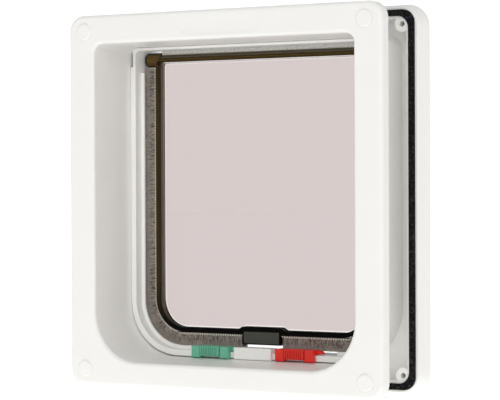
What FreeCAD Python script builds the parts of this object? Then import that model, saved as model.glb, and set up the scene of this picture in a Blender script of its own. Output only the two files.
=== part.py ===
import FreeCAD, Part
import math
import os
import Sketcher

# Self-lining cat flap for a door: an indoor frame whose tunnel slides over the collar of an outdoor
# frame, a clear flap hung on two headed pins, brush seals, a magnet catch and two lock sliders.
# X runs across the door, Y through it from indoors to outdoors, Z up. The origin is the centre of
# the four screw bosses, on the plane where the outdoor frame meets the door.

doc = FreeCAD.newDocument("cat_flap")
sheet = doc.addObject("Spreadsheet::Sheet", "Sizes")

DRIVING_SIZES = {
    # indoor frame
    "frame_width": 192.0,
    "frame_height": 202.0,
    "frame_corner": 8.5,
    "frame_edge_round": 2.2,
    "flange_depth": 7.4,
    "flange_wall": 2.6,
    "rim_wall": 2.0,
    "door_thickness": 36.0,
    "rib_wall": 1.4,
    # tunnel
    "tunnel_side_margin": 16.25,
    "tunnel_top_margin": 15.8,
    "tunnel_bottom_margin": 13.3,
    "tunnel_narrowing": 0.2,
    "tunnel_floor_rise": 1.4,
    "tunnel_top_corner": 5.2,
    "tunnel_bottom_corner": 27.0,
    "tunnel_wall": 1.0,
    "mouth_round": 1.8,
    "tunnel_clearance": 0.1,
    "tunnel_end_gap": 0.3,
    # screws and caps
    "screw_inset_across": 10.0,
    "screw_inset_up": 9.0,
    "screw_clearance_radius": 2.2,
    "screw_pilot_radius": 1.5,
    "screw_pilot_depth": 8.2,
    "tower_radius": 6.2,
    "boss_radius": 4.2,
    "cap_radius": 4.75,
    "cap_gap": 0.08,
    "cap_thickness": 1.0,
    "cap_dome": 0.5,
    "cap_edge_round": 0.48,
    "cap_skirt": 0.9,
    "cap_recess": 2.2,
    # plain name plate
    "plate_length": 48.0,
    "plate_height": 8.9,
    "plate_recess": 0.35,
    "plate_end_flat": 0.05,
    "plate_rise": 7.1,
    # outdoor frame
    "outer_inset_across": 1.5,
    "outer_inset_up": 0.4,
    "outer_corner": 9.6,
    "outer_depth": 13.6,
    "outer_draft": 12.0,
    "outer_round": 3.2,
    "outer_floor": 2.7,
    "outer_lip": 1.1,
    "inner_lip": 1.5,
    "gasket_width": 3.3,
    "gasket_outer_corner": 7.0,
    "gasket_inner_corner": 6.4,
    "gasket_channel": 3.0,
    "gasket_proud": 1.4,
    # collar
    "collar_reach": 7.45,
    "collar_side_wall": 3.15,
    "collar_top_wall": 1.5,
    "collar_floor_wall": 3.4,
    "collar_top_corner": 4.5,
    "collar_bottom_corner": 30.0,
    "collar_lip_round": 0.4,
    "collar_back_round": 1.2,
    "bead_height": 1.8,
    "bead_thickness": 1.0,
    "bead_setback": 6.15,
    "bead_start_drop": 7.15,
    "bead_stop_left": 10.55,
    "bead_stop_right": 1.75,
    # hinge
    "hinge_drop": 6.75,
    "hinge_depth": 4.7,
    "knuckle_radius": 4.1,
    "knuckle_length": 9.8,
    "knuckle_round": 1.8,
    "knuckle_gap": 0.4,
    "pin_radius": 1.5,
    "pin_running": 0.05,
    "pin_seating": 0.02,
    "pin_engagement": 7.6,
    "pin_head_radius": 3.6,
    "pin_head_thickness": 1.2,
    "notch_height": 8.1,
    "notch_depth": 1.7,
    # flap
    "flap_side_gap": 8.4,
    "flap_floor_gap": 9.3,
    "flap_depth": 8.8,
    "flap_corner": 18.5,
    "flap_side_rim": 3.5,
    "flap_bottom_rim": 2.5,
    "flap_back_rim": 1.0,
    "flap_top_corner": 1.5,
    "panel_thickness": 2.0,
    "panel_setback": 3.4,
    "rail_rise": 1.45,
    "rail_height": 3.35,
    "rail_round": 1.7,
    # catch magnets
    "magnet_width": 22.3,
    "magnet_height": 6.6,
    "magnet_depth": 5.0,
    "magnet_hang": 5.2,
    "magnet_fit": 0.05,
    "magnet_chamfer": 0.25,
    "holder_wall": 0.85,
    "holder_floor": 0.45,
    "holder_step": 4.0,
    "holder_ramp": 2.5,
    "frame_magnet_width": 20.0,
    "frame_magnet_depth": 5.0,
    "frame_magnet_height": 2.4,
    # brush seals
    "backing_thickness": 0.8,
    "backing_width": 7.8,
    "pile_width": 6.4,
    "pile_side_gap": 0.3,
    "pile_drop": 6.1,
    "pile_start_drop": 4.7,
    "pile_end_gap": 0.4,
    "top_pile_width": 2.4,
    "top_pile_height": 3.0,
    # lock
    "keeper_width": 23.3,
    "keeper_front": 2.35,
    "keeper_drop": 6.4,
    "keeper_rise": 2.6,
    "keeper_rear": 5.15,
    "keeper_tongue_room": 3.15,
    "keeper_chamfer": 0.4,
    "keeper_panel_margin": 1.1,
    "keeper_panel_depth": 0.25,
    "slider_offset": 26.4,
    "slider_length": 23.4,
    "slider_gap": 0.3,
    "slider_plate": 1.45,
    "slider_plate_drop": 4.7,
    "slider_rise": 2.7,
    "slider_reach": 5.25,
    "foot_width": 5.5,
    "foot_thickness": 3.05,
    "foot_drop": 6.5,
    "grip_width": 12.0,
    "grip_thickness": 3.45,
    "grip_drop": 5.4,
    "grip_rise": 2.85,
    "grip_groove": 0.35,
    "grip_chamfer": 0.5,
    "rib_pitch": 1.15,
    "rib_groove_width": 0.575,
    "rib_margin": 0.8,
    "tongue_length": 3.9,
    "tongue_taper": 1.8,
    "tongue_width": 3.0,
    "tongue_setback": 1.15,
    "tongue_rise": 2.4,
    "tongue_tip_height": 0.52,
    "keel_width": 1.6,
    "keel_height": 1.4,
    "keel_length": 18.0,
    "keel_setback": 1.85,
    "groove_gap": 0.2,
    "groove_margin": 3.15,
}

for row, (alias, number) in enumerate(DRIVING_SIZES.items(), start=1):
    sheet.set(f"A{row}", alias)
    sheet.set(f"B{row}", str(number))
    sheet.setAlias(f"B{row}", alias)
doc.recompute()


class Size:
    """A length with its number now and the sheet expression that gives it."""

    def __init__(self, value, text):
        self.value = value
        self.text = text

    def joined(self, other, sign, value):
        return Size(value, f"({self.text} {sign} {size_of(other).text})")

    def __add__(self, other):
        return self.joined(other, "+", self.value + size_of(other).value)

    def __sub__(self, other):
        return self.joined(other, "-", self.value - size_of(other).value)

    def __mul__(self, other):
        return self.joined(other, "*", self.value * size_of(other).value)

    def __truediv__(self, other):
        return self.joined(other, "/", self.value / size_of(other).value)

    def __neg__(self):
        return Size(-self.value, f"(0 - {self.text})")


def size_of(thing):
    """A Size for an alias of the sheet, a plain number or a Size."""
    if isinstance(thing, Size):
        return thing
    if isinstance(thing, str):
        return Size(float(sheet.get(thing)), f"Sizes.{thing}")
    return Size(float(thing), f"{float(thing):.6f}")


def bind(item, path, length):
    item.setExpression(path, length.text)


def new_body(label):
    body = doc.addObject("PartDesign::Body", label)
    body.Label = label
    return body


def new_sketch(body, role, offset):
    """A sketch on one of the body's own planes, moved along that plane's normal."""
    sketch = body.newObject("Sketcher::SketchObject", "sketch")
    plane = next(item for item in body.Origin.OriginFeatures if item.Role == role)
    sketch.AttachmentSupport = (plane, [""])
    sketch.MapMode = "FlatFace"
    sketch.AttachmentOffset = FreeCAD.Placement(FreeCAD.Vector(0, 0, offset.value), FreeCAD.Rotation())
    bind(sketch, ".AttachmentOffset.Base.z", offset)
    return sketch


def front_sketch(body, depth):
    """A sketch that looks along Y, on the plane at this depth. Its normal points indoors."""
    return new_sketch(body, "XZ_Plane", -size_of(depth))


def side_sketch(body, across=0.0):
    """A sketch of Y and Z, on the plane at this place across the door."""
    return new_sketch(body, "YZ_Plane", size_of(across))


def level_sketch(body, height):
    """A sketch of X and Y, on the plane at this height."""
    return new_sketch(body, "XY_Plane", size_of(height))


def constrain(sketch, kind, items, length):
    index = sketch.addConstraint(Sketcher.Constraint(kind, *items, length.value))
    name = f"size{index}"
    sketch.renameConstraint(index, name)
    bind(sketch, f".Constraints.{name}", length)


def pin_point(sketch, line, end, point, flat_side):
    """Ties the end of a sloped line, apart from what the flat or upright edge beside it settles."""
    if flat_side != "upright":
        constrain(sketch, "DistanceX", (-1, 1, line, end), point[0])
    if flat_side != "flat":
        constrain(sketch, "DistanceY", (-1, 1, line, end), point[1])


def edge_direction(start, end):
    if start[1].text == end[1].text:
        return "flat"
    if start[0].text == end[0].text:
        return "upright"
    return "sloped"


def add_loop(sketch, corners):
    """A closed outline through corners of (across, up, radius), where a radius of None is sharp."""
    points = [(size_of(x), size_of(z)) for x, z, _ in corners]
    radii = [None if radius is None else size_of(radius) for _, _, radius in corners]
    count = len(points)
    spots = [FreeCAD.Vector(x.value, z.value, 0) for x, z in points]
    ways = [(spots[(i + 1) % count] - spots[i]).normalize() for i in range(count)]
    trims = []
    for i in range(count):
        bend = ways[i - 1].getAngle(ways[i])
        trims.append(0.0 if radii[i] is None else radii[i].value * math.tan(bend / 2))
    kinds = [edge_direction(points[i], points[(i + 1) % count]) for i in range(count)]
    lines = []
    for i in range(count):
        start = spots[i] + ways[i] * trims[i]
        end = spots[(i + 1) % count] - ways[i] * trims[(i + 1) % count]
        lines.append(sketch.addGeometry(Part.LineSegment(start, end), False))
    for i, kind in enumerate(kinds):
        if kind == "flat":
            sketch.addConstraint(Sketcher.Constraint("Horizontal", lines[i]))
            constrain(sketch, "DistanceY", (-1, 1, lines[i], 1), points[i][1])
        elif kind == "upright":
            sketch.addConstraint(Sketcher.Constraint("Vertical", lines[i]))
            constrain(sketch, "DistanceX", (-1, 1, lines[i], 1), points[i][0])
    for i in range(count):
        before = lines[i - 1]
        after = lines[i]
        if radii[i] is None:
            sketch.addConstraint(Sketcher.Constraint("Coincident", before, 2, after, 1))
            continue
        inward = ways[i - 1].cross(ways[i]).z
        side = 1.0 if inward > 0 else -1.0
        normal = FreeCAD.Vector(-ways[i - 1].y, ways[i - 1].x, 0) * side
        first = spots[i] - ways[i - 1] * trims[i]
        last = spots[i] + ways[i] * trims[i]
        centre = first + normal * radii[i].value
        angles = [math.atan2(p.y - centre.y, p.x - centre.x) for p in (first, last)]
        circle = Part.Circle(centre, FreeCAD.Vector(0, 0, 1), radii[i].value)
        if side < 0:
            angles.reverse()
        arc = sketch.addGeometry(Part.ArcOfCircle(circle, angles[0], angles[1]), False)
        ends = (1, 2) if side > 0 else (2, 1)
        sketch.addConstraint(Sketcher.Constraint("Tangent", before, 2, arc, ends[0]))
        sketch.addConstraint(Sketcher.Constraint("Tangent", arc, ends[1], after, 1))
        constrain(sketch, "Radius", (arc,), radii[i])
    for i, kind in enumerate(kinds):
        if kind != "sloped":
            continue
        following = (i + 1) % count
        if kinds[i - 1] != "sloped":
            pin_point(sketch, lines[i], 1, points[i], kinds[i - 1])
        if kinds[following] == "sloped":
            pin_point(sketch, lines[i], 2, points[following], "")
        else:
            pin_point(sketch, lines[i], 2, points[following], kinds[following])


def add_rectangle(sketch, left, right, bottom, top):
    add_loop(sketch, [(left, bottom, None), (right, bottom, None), (right, top, None), (left, top, None)])


def add_circle(sketch, across, up, radius):
    across, up, radius = size_of(across), size_of(up), size_of(radius)
    centre = FreeCAD.Vector(across.value, up.value, 0)
    circle = sketch.addGeometry(Part.Circle(centre, FreeCAD.Vector(0, 0, 1), radius.value), False)
    constrain(sketch, "DistanceX", (-1, 1, circle, 3), across)
    constrain(sketch, "DistanceY", (-1, 1, circle, 3), up)
    constrain(sketch, "Radius", (circle,), radius)


def add_arch(sketch, half_width, top, bottom, top_corner, bottom_corner):
    """The outline of the passage: small corners above and large ones below."""
    half_width = size_of(half_width)
    add_loop(sketch, [
        (-half_width, -size_of(bottom), bottom_corner),
        (half_width, -size_of(bottom), bottom_corner),
        (half_width, top, top_corner),
        (-half_width, top, top_corner),
    ])


def extrude(body, kind, sketch, length, backwards=False, middle=False, grows=True):
    """A Pad or Pocket whose direction is proved by the change in the body's volume."""
    before = body.Shape.Volume if body.Shape and not body.Shape.isNull() else 0.0
    feature = body.newObject(f"PartDesign::{kind}", kind)
    feature.Profile = sketch
    feature.Length = size_of(length).value
    bind(feature, "Length", size_of(length))
    feature.Reversed = backwards
    if middle:
        feature.SideType = "Symmetric"
    doc.recompute()
    change = body.Shape.Volume - before
    if (change > 0) != grows or abs(change) < 1e-6:
        raise RuntimeError(f"{body.Label}: {feature.Name} changed the volume by {change:.3f}")
    return feature


def pad(body, sketch, length, backwards=True, middle=False):
    return extrude(body, "Pad", sketch, length, backwards, middle)


def pocket(body, sketch, length, backwards=False, middle=False):
    return extrude(body, "Pocket", sketch, length, backwards, middle, grows=False)


def loft(body, kind, front, back):
    """An AdditiveLoft or SubtractiveLoft between two outlines, proved by the change in volume."""
    before = body.Shape.Volume if body.Shape and not body.Shape.isNull() else 0.0
    feature = body.newObject(f"PartDesign::{kind}Loft", "Loft")
    feature.Profile = front
    feature.Sections = [back]
    feature.Ruled = True
    doc.recompute()
    change = body.Shape.Volume - before
    if (change > 0) != (kind == "Additive") or abs(change) < 1e-6:
        raise RuntimeError(f"{body.Label}: {feature.Name} changed the volume by {change:.3f}")
    return feature


def edges_where(body, test):
    """Names of the edges whose every vertex and middle point passes the test."""
    names = []
    for number, edge in enumerate(body.Shape.Edges, start=1):
        middle = edge.valueAt((edge.FirstParameter + edge.LastParameter) / 2)
        points = [vertex.Point for vertex in edge.Vertexes] + [middle]
        if all(test(point) for point in points):
            names.append(f"Edge{number}")
    return names


def dress(body, kind, test, length):
    """A Fillet or Chamfer on the edges that pass the test."""
    base = body.Tip
    names = edges_where(body, test)
    feature = body.newObject(f"PartDesign::{kind}", kind)
    feature.Base = (base, names)
    path = "Radius" if kind == "Fillet" else "Size"
    setattr(feature, path, size_of(length).value)
    bind(feature, path, size_of(length))
    doc.recompute()
    return feature


def near(value, target):
    return abs(value - target.value) < 1e-4


OVERCUT = size_of(0.5)
frame_half_width = size_of("frame_width") / 2
frame_half_height = size_of("frame_height") / 2
screw_x = frame_half_width - "screw_inset_across"
screw_z = frame_half_height - "screw_inset_up"
SCREW_PLACES = {
    "top_left": (-screw_x, screw_z),
    "top_right": (screw_x, screw_z),
    "bottom_left": (-screw_x, -screw_z),
    "bottom_right": (screw_x, -screw_z),
}

# Places that several pieces share
door_back = -size_of("door_thickness")
frame_front = door_back - "flange_depth"
tunnel_inside = frame_half_width - "tunnel_side_margin"
tunnel_top = frame_half_height - "tunnel_top_margin"
tunnel_bottom = frame_half_height - "tunnel_bottom_margin"
tunnel_outside = tunnel_inside + "tunnel_wall"
floor_depth = size_of("outer_depth") - "outer_floor"
collar_front = -size_of("collar_reach")
collar_outside = tunnel_inside - "tunnel_narrowing" - "tunnel_clearance"
collar_inside = collar_outside - "collar_side_wall"
collar_outer_top = tunnel_top - "tunnel_narrowing" - "tunnel_clearance"
collar_inner_top = collar_outer_top - "collar_top_wall"
collar_outer_bottom = tunnel_bottom - "tunnel_floor_rise" - "tunnel_clearance"
collar_inner_bottom = collar_outer_bottom - "collar_floor_wall"
collar_inner_top_corner = size_of("collar_top_corner") - "collar_top_wall"
collar_inner_bottom_corner = size_of("collar_bottom_corner") - "collar_side_wall"
collar_corner_start = collar_inside - collar_inner_bottom_corner
outer_half_width = frame_half_width - "outer_inset_across"
outer_half_height = frame_half_height - "outer_inset_up"
hinge_y = size_of("hinge_depth")
hinge_z = tunnel_top - "hinge_drop"
flap_front = hinge_y - size_of("flap_depth") / 2
flap_back = hinge_y + size_of("flap_depth") / 2
flap_outside = collar_inside - "flap_side_gap"
flap_bottom = collar_inner_bottom - "flap_floor_gap"
rail_top = hinge_z + "rail_rise"
magnet_bottom = flap_bottom + "magnet_hang"
holder_top = flap_bottom - "holder_step"
holder_outside = size_of("magnet_width") / 2 + "holder_wall"
lock_floor = -collar_inner_bottom
keel_front = collar_front + "keel_setback"


def make_indoor_frame():
    """Flange with a rounded rim, hollow behind, and the tunnel that lines the door."""
    body = new_body("inner_frame")

    sketch = front_sketch(body, frame_front)
    add_arch(
        sketch, frame_half_width, frame_half_height, frame_half_height, "frame_corner", "frame_corner"
    )
    pad(body, sketch, "flange_depth")
    dress(body, "Fillet", lambda p: near(p.y, frame_front), "frame_edge_round")

    sketch = front_sketch(body, door_back)
    hollow = frame_half_width - "rim_wall"
    hollow_height = frame_half_height - "rim_wall"
    hollow_corner = size_of("frame_corner") - "rim_wall"
    add_arch(sketch, hollow, hollow_height, hollow_height, hollow_corner, hollow_corner)
    pocket(body, sketch, size_of("flange_depth") - "flange_wall", backwards=True)

    tunnel_back = floor_depth - "tunnel_end_gap"
    add_tunnel(body, "Additive", frame_front + "flange_wall", tunnel_back, "tunnel_wall")

    sketch = front_sketch(body, frame_front + "flange_wall")
    for across, up in SCREW_PLACES.values():
        add_circle(sketch, across, up, "tower_radius")
    pad(body, sketch, size_of("flange_depth") - "flange_wall")

    sketch = front_sketch(body, frame_front + "flange_wall")
    half_rib = size_of("rib_wall") / 2
    for up in (screw_z / 3, -screw_z / 3):
        for side in (1, -1):
            inner = (tunnel_outside - OVERCUT) * side
            outer = (hollow + OVERCUT) * side
            left, right = (inner, outer) if side > 0 else (outer, inner)
            add_rectangle(sketch, left, right, up - half_rib, up + half_rib)
    for across in (screw_x / 3, -screw_x / 3):
        low = tunnel_top + "tunnel_wall" - OVERCUT
        add_rectangle(sketch, across - half_rib, across + half_rib, low, hollow_height + OVERCUT)
        high = -(tunnel_bottom + "tunnel_wall" - OVERCUT)
        add_rectangle(sketch, across - half_rib, across + half_rib, -(hollow_height + OVERCUT), high)
    pad(body, sketch, size_of("flange_depth") - "flange_wall" - "rim_wall")

    add_tunnel(body, "Subtractive", frame_front, tunnel_back + OVERCUT, 0.0)

    def on_mouth(point):
        inside = abs(point.x) < tunnel_inside.value + 1e-3
        level = -tunnel_bottom.value - 1e-3 < point.z < tunnel_top.value + 1e-3
        return near(point.y, frame_front) and inside and level

    dress(body, "Fillet", on_mouth, "mouth_round")

    sketch = front_sketch(body, frame_front)
    for across, up in SCREW_PLACES.values():
        add_circle(sketch, across, up, size_of("cap_radius") + "cap_gap")
    pocket(body, sketch, "cap_recess")

    sketch = front_sketch(body, frame_front)
    for across, up in SCREW_PLACES.values():
        add_circle(sketch, across, up, "screw_clearance_radius")
    pocket(body, sketch, size_of("flange_depth") + OVERCUT)

    sketch = front_sketch(body, frame_front)
    half_plate = size_of("plate_length") / 2
    half_tall = size_of("plate_height") / 2
    plate_low = tunnel_top + "plate_rise" - half_tall
    plate_high = tunnel_top + "plate_rise" + half_tall
    plate_end = half_tall - "plate_end_flat"
    add_loop(sketch, [
        (-half_plate, plate_low, plate_end),
        (half_plate, plate_low, plate_end),
        (half_plate, plate_high, plate_end),
        (-half_plate, plate_high, plate_end),
    ])
    pocket(body, sketch, "plate_recess")
    return body


def add_tunnel(body, kind, start, end, wall):
    """The tunnel's outside or inside, which narrows a little towards the collar that it slides over."""
    front = front_sketch(body, start)
    add_arch(
        front,
        tunnel_inside + wall,
        tunnel_top + wall,
        tunnel_bottom + wall,
        size_of("tunnel_top_corner") + wall,
        size_of("tunnel_bottom_corner") + wall,
    )
    back = front_sketch(body, end)
    gap = size_of("tunnel_clearance") + wall
    add_arch(
        back,
        collar_outside + gap,
        collar_outer_top + gap,
        collar_outer_bottom + gap,
        size_of("collar_top_corner") + gap,
        size_of("collar_bottom_corner") + gap,
    )
    loft(body, kind, front, back)


def make_screw_cap(place, across, up):
    """Push-in cap: a slightly domed disc over a short skirt."""
    body = new_body(f"screw_cap_{place}")
    seat = frame_front + "cap_thickness"

    sketch = front_sketch(body, frame_front)
    add_circle(sketch, across, up, "cap_radius")
    pad(body, sketch, "cap_thickness")

    sketch = front_sketch(body, seat)
    skirt_outside = size_of("cap_radius") - "cap_gap"
    add_circle(sketch, across, up, skirt_outside)
    add_circle(sketch, across, up, skirt_outside - "cap_skirt")
    pad(body, sketch, size_of("cap_recess") - "cap_thickness")

    sketch = front_sketch(body, frame_front)
    add_circle(sketch, across, up, size_of("cap_radius") - "cap_dome")
    pad(body, sketch, "cap_dome", backwards=False)
    crown = frame_front - "cap_dome"
    dress(body, "Fillet", lambda p: near(p.y, crown), "cap_edge_round")
    return body


def make_outdoor_frame():
    """Tapered flange with a gasket channel, screw bosses and the collar that holds the flap."""
    body = new_body("outer_frame")

    sketch = front_sketch(body, 0.0)
    add_arch(
        sketch, outer_half_width, outer_half_height, outer_half_height, "outer_corner", "outer_corner"
    )
    base = pad(body, sketch, "outer_depth")
    base.TaperAngle = size_of("outer_draft").value
    bind(base, "TaperAngle", size_of("outer_draft"))
    doc.recompute()
    if body.Shape.BoundBox.XMax <= outer_half_width.value:
        raise RuntimeError("outer_frame: the rim has to widen away from the door")
    dress(body, "Fillet", lambda p: near(p.y, size_of("outer_depth")), "outer_round")

    sketch = front_sketch(body, 0.0)
    lips = size_of("outer_lip") + "gasket_width" + "inner_lip"
    wide = outer_half_width - lips
    tall = outer_half_height - lips
    corner = size_of("gasket_inner_corner") - "inner_lip"
    add_arch(sketch, wide, tall, tall, corner, corner)
    pocket(body, sketch, floor_depth)

    sketch = front_sketch(body, 0.0)
    for across, up in SCREW_PLACES.values():
        add_circle(sketch, across, up, "boss_radius")
    pad(body, sketch, floor_depth + OVERCUT)

    sketch = front_sketch(body, 0.0)
    add_gasket_ring(sketch)
    pocket(body, sketch, "gasket_channel")

    sketch = front_sketch(body, collar_front)
    add_collar_outline(sketch)
    pad(body, sketch, size_of("collar_reach") + floor_depth + OVERCUT)

    sketch = front_sketch(body, collar_front)
    add_arch(
        sketch,
        collar_inside,
        collar_inner_top,
        collar_inner_bottom,
        collar_inner_top_corner,
        collar_inner_bottom_corner,
    )
    pocket(body, sketch, size_of("collar_reach") + "outer_depth" + OVERCUT)
    dress(body, "Fillet", lambda p: near(p.y, collar_front), "collar_lip_round")

    def on_back_mouth(point):
        inside = abs(point.x) < collar_inside.value + 1e-3
        return near(point.y, size_of("outer_depth")) and inside and abs(point.z) < collar_outer_top.value

    dress(body, "Fillet", on_back_mouth, "collar_back_round")

    sketch = front_sketch(body, 0.0)
    for across, up in SCREW_PLACES.values():
        add_circle(sketch, across, up, "screw_pilot_radius")
    pocket(body, sketch, "screw_pilot_depth")

    add_beads(body)
    add_lock_seat(body)
    add_pin_seats(body)
    return body


def add_gasket_ring(sketch):
    """Both edges of the gasket channel."""
    inset = size_of("outer_lip")
    edges = (
        (inset, "gasket_outer_corner"),
        (inset + "gasket_width", "gasket_inner_corner"),
    )
    for inset, corner in edges:
        wide = outer_half_width - inset
        tall = outer_half_height - inset
        add_arch(sketch, wide, tall, tall, corner, corner)


def add_collar_outline(sketch):
    add_arch(
        sketch,
        collar_outside,
        collar_outer_top,
        collar_outer_bottom,
        "collar_top_corner",
        "collar_bottom_corner",
    )


def add_beads(body):
    """The low bead inside the collar, left open where the lock sits."""
    sketch = front_sketch(body, collar_front + "bead_setback")
    sunk = collar_inside + OVERCUT
    crest = collar_inside - "bead_height"
    crest_bottom = -(collar_inner_bottom - "bead_height")
    sunk_bottom = -(collar_inner_bottom + OVERCUT)
    crest_corner = collar_inner_bottom_corner - "bead_height"
    sunk_corner = collar_inner_bottom_corner + OVERCUT
    start = hinge_z - "bead_start_drop"
    left_end = -(collar_corner_start - "bead_stop_left")
    right_end = collar_corner_start - "bead_stop_right"
    add_loop(sketch, [
        (-sunk, start, None),
        (-sunk, sunk_bottom, sunk_corner),
        (left_end, sunk_bottom, None),
        (left_end, crest_bottom, None),
        (-crest, crest_bottom, crest_corner),
        (-crest, start, None),
    ])
    add_loop(sketch, [
        (crest, start, None),
        (crest, crest_bottom, crest_corner),
        (right_end, crest_bottom, None),
        (right_end, sunk_bottom, None),
        (sunk, sunk_bottom, sunk_corner),
        (sunk, start, None),
    ])
    pad(body, sketch, "bead_thickness")


def add_lock_seat(body):
    """Groove that guides the sliders, and the pocket for the catch magnet under the floor."""
    groove_front = keel_front - "groove_gap"
    groove_back = keel_front + "keel_width" + "groove_gap"
    sketch = level_sketch(body, lock_floor)
    groove_end = collar_corner_start - "groove_margin"
    add_rectangle(sketch, -groove_end, groove_end, groove_front, groove_back)
    pocket(body, sketch, size_of("keel_height") + "groove_gap")

    sketch = level_sketch(body, -collar_outer_bottom)
    half = size_of("frame_magnet_width") / 2 + "magnet_fit"
    reach = size_of("frame_magnet_depth") / 2 + "magnet_fit"
    add_rectangle(sketch, -half, half, hinge_y - reach, hinge_y + reach)
    pocket(body, sketch, size_of("frame_magnet_height") + "magnet_fit", backwards=True)


def add_pin_seats(body):
    """Open channels that the pin heads slide in through, and the holes for the pins."""
    half_notch = size_of("notch_height") / 2
    sketch = front_sketch(body, collar_front)
    for side in (1, -1):
        near_edge = (collar_outside - "notch_depth") * side
        far_edge = (collar_outside + OVERCUT) * side
        left, right = (near_edge, far_edge) if side > 0 else (far_edge, near_edge)
        add_rectangle(sketch, left, right, hinge_z - half_notch, hinge_z + half_notch)
    pocket(body, sketch, size_of("collar_reach") + floor_depth)

    sketch = side_sketch(body)
    add_circle(sketch, hinge_y, hinge_z, size_of("pin_radius") + "pin_seating")
    pocket(body, sketch, collar_outside * 2, middle=True)


def make_gasket():
    """Foam ring in the channel, standing a little proud to press on the door."""
    body = new_body("weather_gasket")
    sketch = front_sketch(body, -size_of("gasket_proud"))
    add_gasket_ring(sketch)
    pad(body, sketch, size_of("gasket_channel") + "gasket_proud")
    return body


def make_hinge_pin(name, side):
    """Headed pin: the head lies in the collar's channel and the shank carries the knuckle."""
    head_base = collar_outside - "notch_depth"
    knuckle_end = collar_inside - "knuckle_gap"
    shank_tip = knuckle_end - "pin_engagement"
    shank = doc.addObject("Part::Cylinder", f"{name}_shank")
    head = doc.addObject("Part::Cylinder", f"{name}_head")
    spans = (
        (shank, "pin_radius", shank_tip, head_base),
        (head, "pin_head_radius", head_base, head_base + "pin_head_thickness"),
    )
    for item, radius, start, end in spans:
        bind(item, "Radius", size_of(radius))
        bind(item, "Height", end - start)
        item.Placement = FreeCAD.Placement(FreeCAD.Vector(), FreeCAD.Rotation(FreeCAD.Vector(0, 1, 0), 90))
        bind(item, "Placement.Base.x", start if side > 0 else -end)
        bind(item, "Placement.Base.y", hinge_y)
        bind(item, "Placement.Base.z", hinge_z)
    pin = doc.addObject("Part::Fuse", name)
    pin.Base = shank
    pin.Tool = head
    pin.Label = name
    doc.recompute()
    return pin


def make_flap():
    """One moulding: clear pane, raised rim, hinge rail, two knuckles and the magnet holder."""
    body = new_body("flap_panel")

    sketch = front_sketch(body, flap_front)
    add_loop(sketch, [
        (-flap_outside, -flap_bottom, "flap_corner"),
        (flap_outside, -flap_bottom, "flap_corner"),
        (flap_outside, rail_top, None),
        (-flap_outside, rail_top, None),
    ])
    pad(body, sketch, "flap_depth")

    sketch = front_sketch(body, flap_front)
    holder_low = -(magnet_bottom + "holder_floor")
    add_rectangle(sketch, -holder_outside, holder_outside, holder_low, -holder_top)
    pad(body, sketch, "flap_depth")

    sketch = front_sketch(body, flap_front)
    add_pane_outline(sketch)
    pocket(body, sketch, "panel_setback")

    sketch = front_sketch(body, flap_back)
    back_inside = flap_outside - "flap_back_rim"
    back_low = -(flap_bottom - "flap_back_rim")
    back_corner = size_of("flap_corner") - "flap_back_rim"
    rail_low = rail_top - "rail_height"
    add_loop(sketch, [
        (-back_inside, back_low, back_corner),
        (back_inside, back_low, back_corner),
        (back_inside, rail_low, "flap_top_corner"),
        (-back_inside, rail_low, "flap_top_corner"),
    ])
    back_recess = size_of("flap_depth") - "panel_setback" - "panel_thickness"
    pocket(body, sketch, back_recess, backwards=True)

    def along_rail(point):
        on_face = near(point.y, flap_front) or near(point.y, flap_back)
        return on_face and near(point.z, rail_top)

    dress(body, "Fillet", along_rail, "rail_round")

    knuckle_end = collar_inside - "knuckle_gap"
    for side in (1, -1):
        start = knuckle_end - "knuckle_length" if side > 0 else -knuckle_end
        sketch = side_sketch(body, start)
        add_circle(sketch, hinge_y, hinge_z, "knuckle_radius")
        pad(body, sketch, "knuckle_length", backwards=False)
    dress(body, "Fillet", lambda p: near(abs(p.x), knuckle_end), "knuckle_round")

    for side in (1, -1):
        sketch = side_sketch(body, knuckle_end * side)
        add_circle(sketch, hinge_y, hinge_z, size_of("pin_radius") + "pin_running")
        pocket(body, sketch, size_of("pin_engagement") + "knuckle_gap", backwards=side < 0)

    sketch = front_sketch(body, flap_front)
    half = size_of("magnet_width") / 2 + "magnet_fit"
    low = -(magnet_bottom + "magnet_fit")
    high = -(magnet_bottom - "magnet_height" - "magnet_fit")
    add_rectangle(sketch, -half, half, low, high)
    pocket(body, sketch, "magnet_depth")
    return body


def add_pane_outline(sketch):
    """Inner edge of the rim, stepping up over the magnet holder."""
    inside = flap_outside - "flap_side_rim"
    low = -(flap_bottom - "flap_bottom_rim")
    corner = size_of("flap_corner") - "flap_side_rim"
    rail_low = rail_top - "rail_height"
    ramp_foot = holder_outside + "holder_ramp"
    add_loop(sketch, [
        (-inside, low, corner),
        (-ramp_foot, low, None),
        (-holder_outside, -holder_top, None),
        (holder_outside, -holder_top, None),
        (ramp_foot, low, None),
        (inside, low, corner),
        (inside, rail_low, "flap_top_corner"),
        (-inside, rail_low, "flap_top_corner"),
    ])


def make_flap_magnet():
    """Bar magnet in the holder, its face level with the rim."""
    body = new_body("flap_magnet")
    sketch = front_sketch(body, flap_front)
    half = size_of("magnet_width") / 2
    low = -magnet_bottom
    add_rectangle(sketch, -half, half, low, low + "magnet_height")
    pad(body, sketch, size_of("magnet_depth") - "magnet_fit")
    dress(body, "Chamfer", lambda p: near(p.y, flap_front), "magnet_chamfer")
    return body


def make_frame_magnet():
    """Bar magnet in the pocket under the collar floor, below the flap's own magnet."""
    body = new_body("frame_magnet")
    sketch = level_sketch(body, -collar_outer_bottom)
    half = size_of("frame_magnet_width") / 2
    reach = size_of("frame_magnet_depth") / 2
    add_rectangle(sketch, -half, half, hinge_y - reach, hinge_y + reach)
    pad(body, sketch, "frame_magnet_height", backwards=False)
    return body


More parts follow.
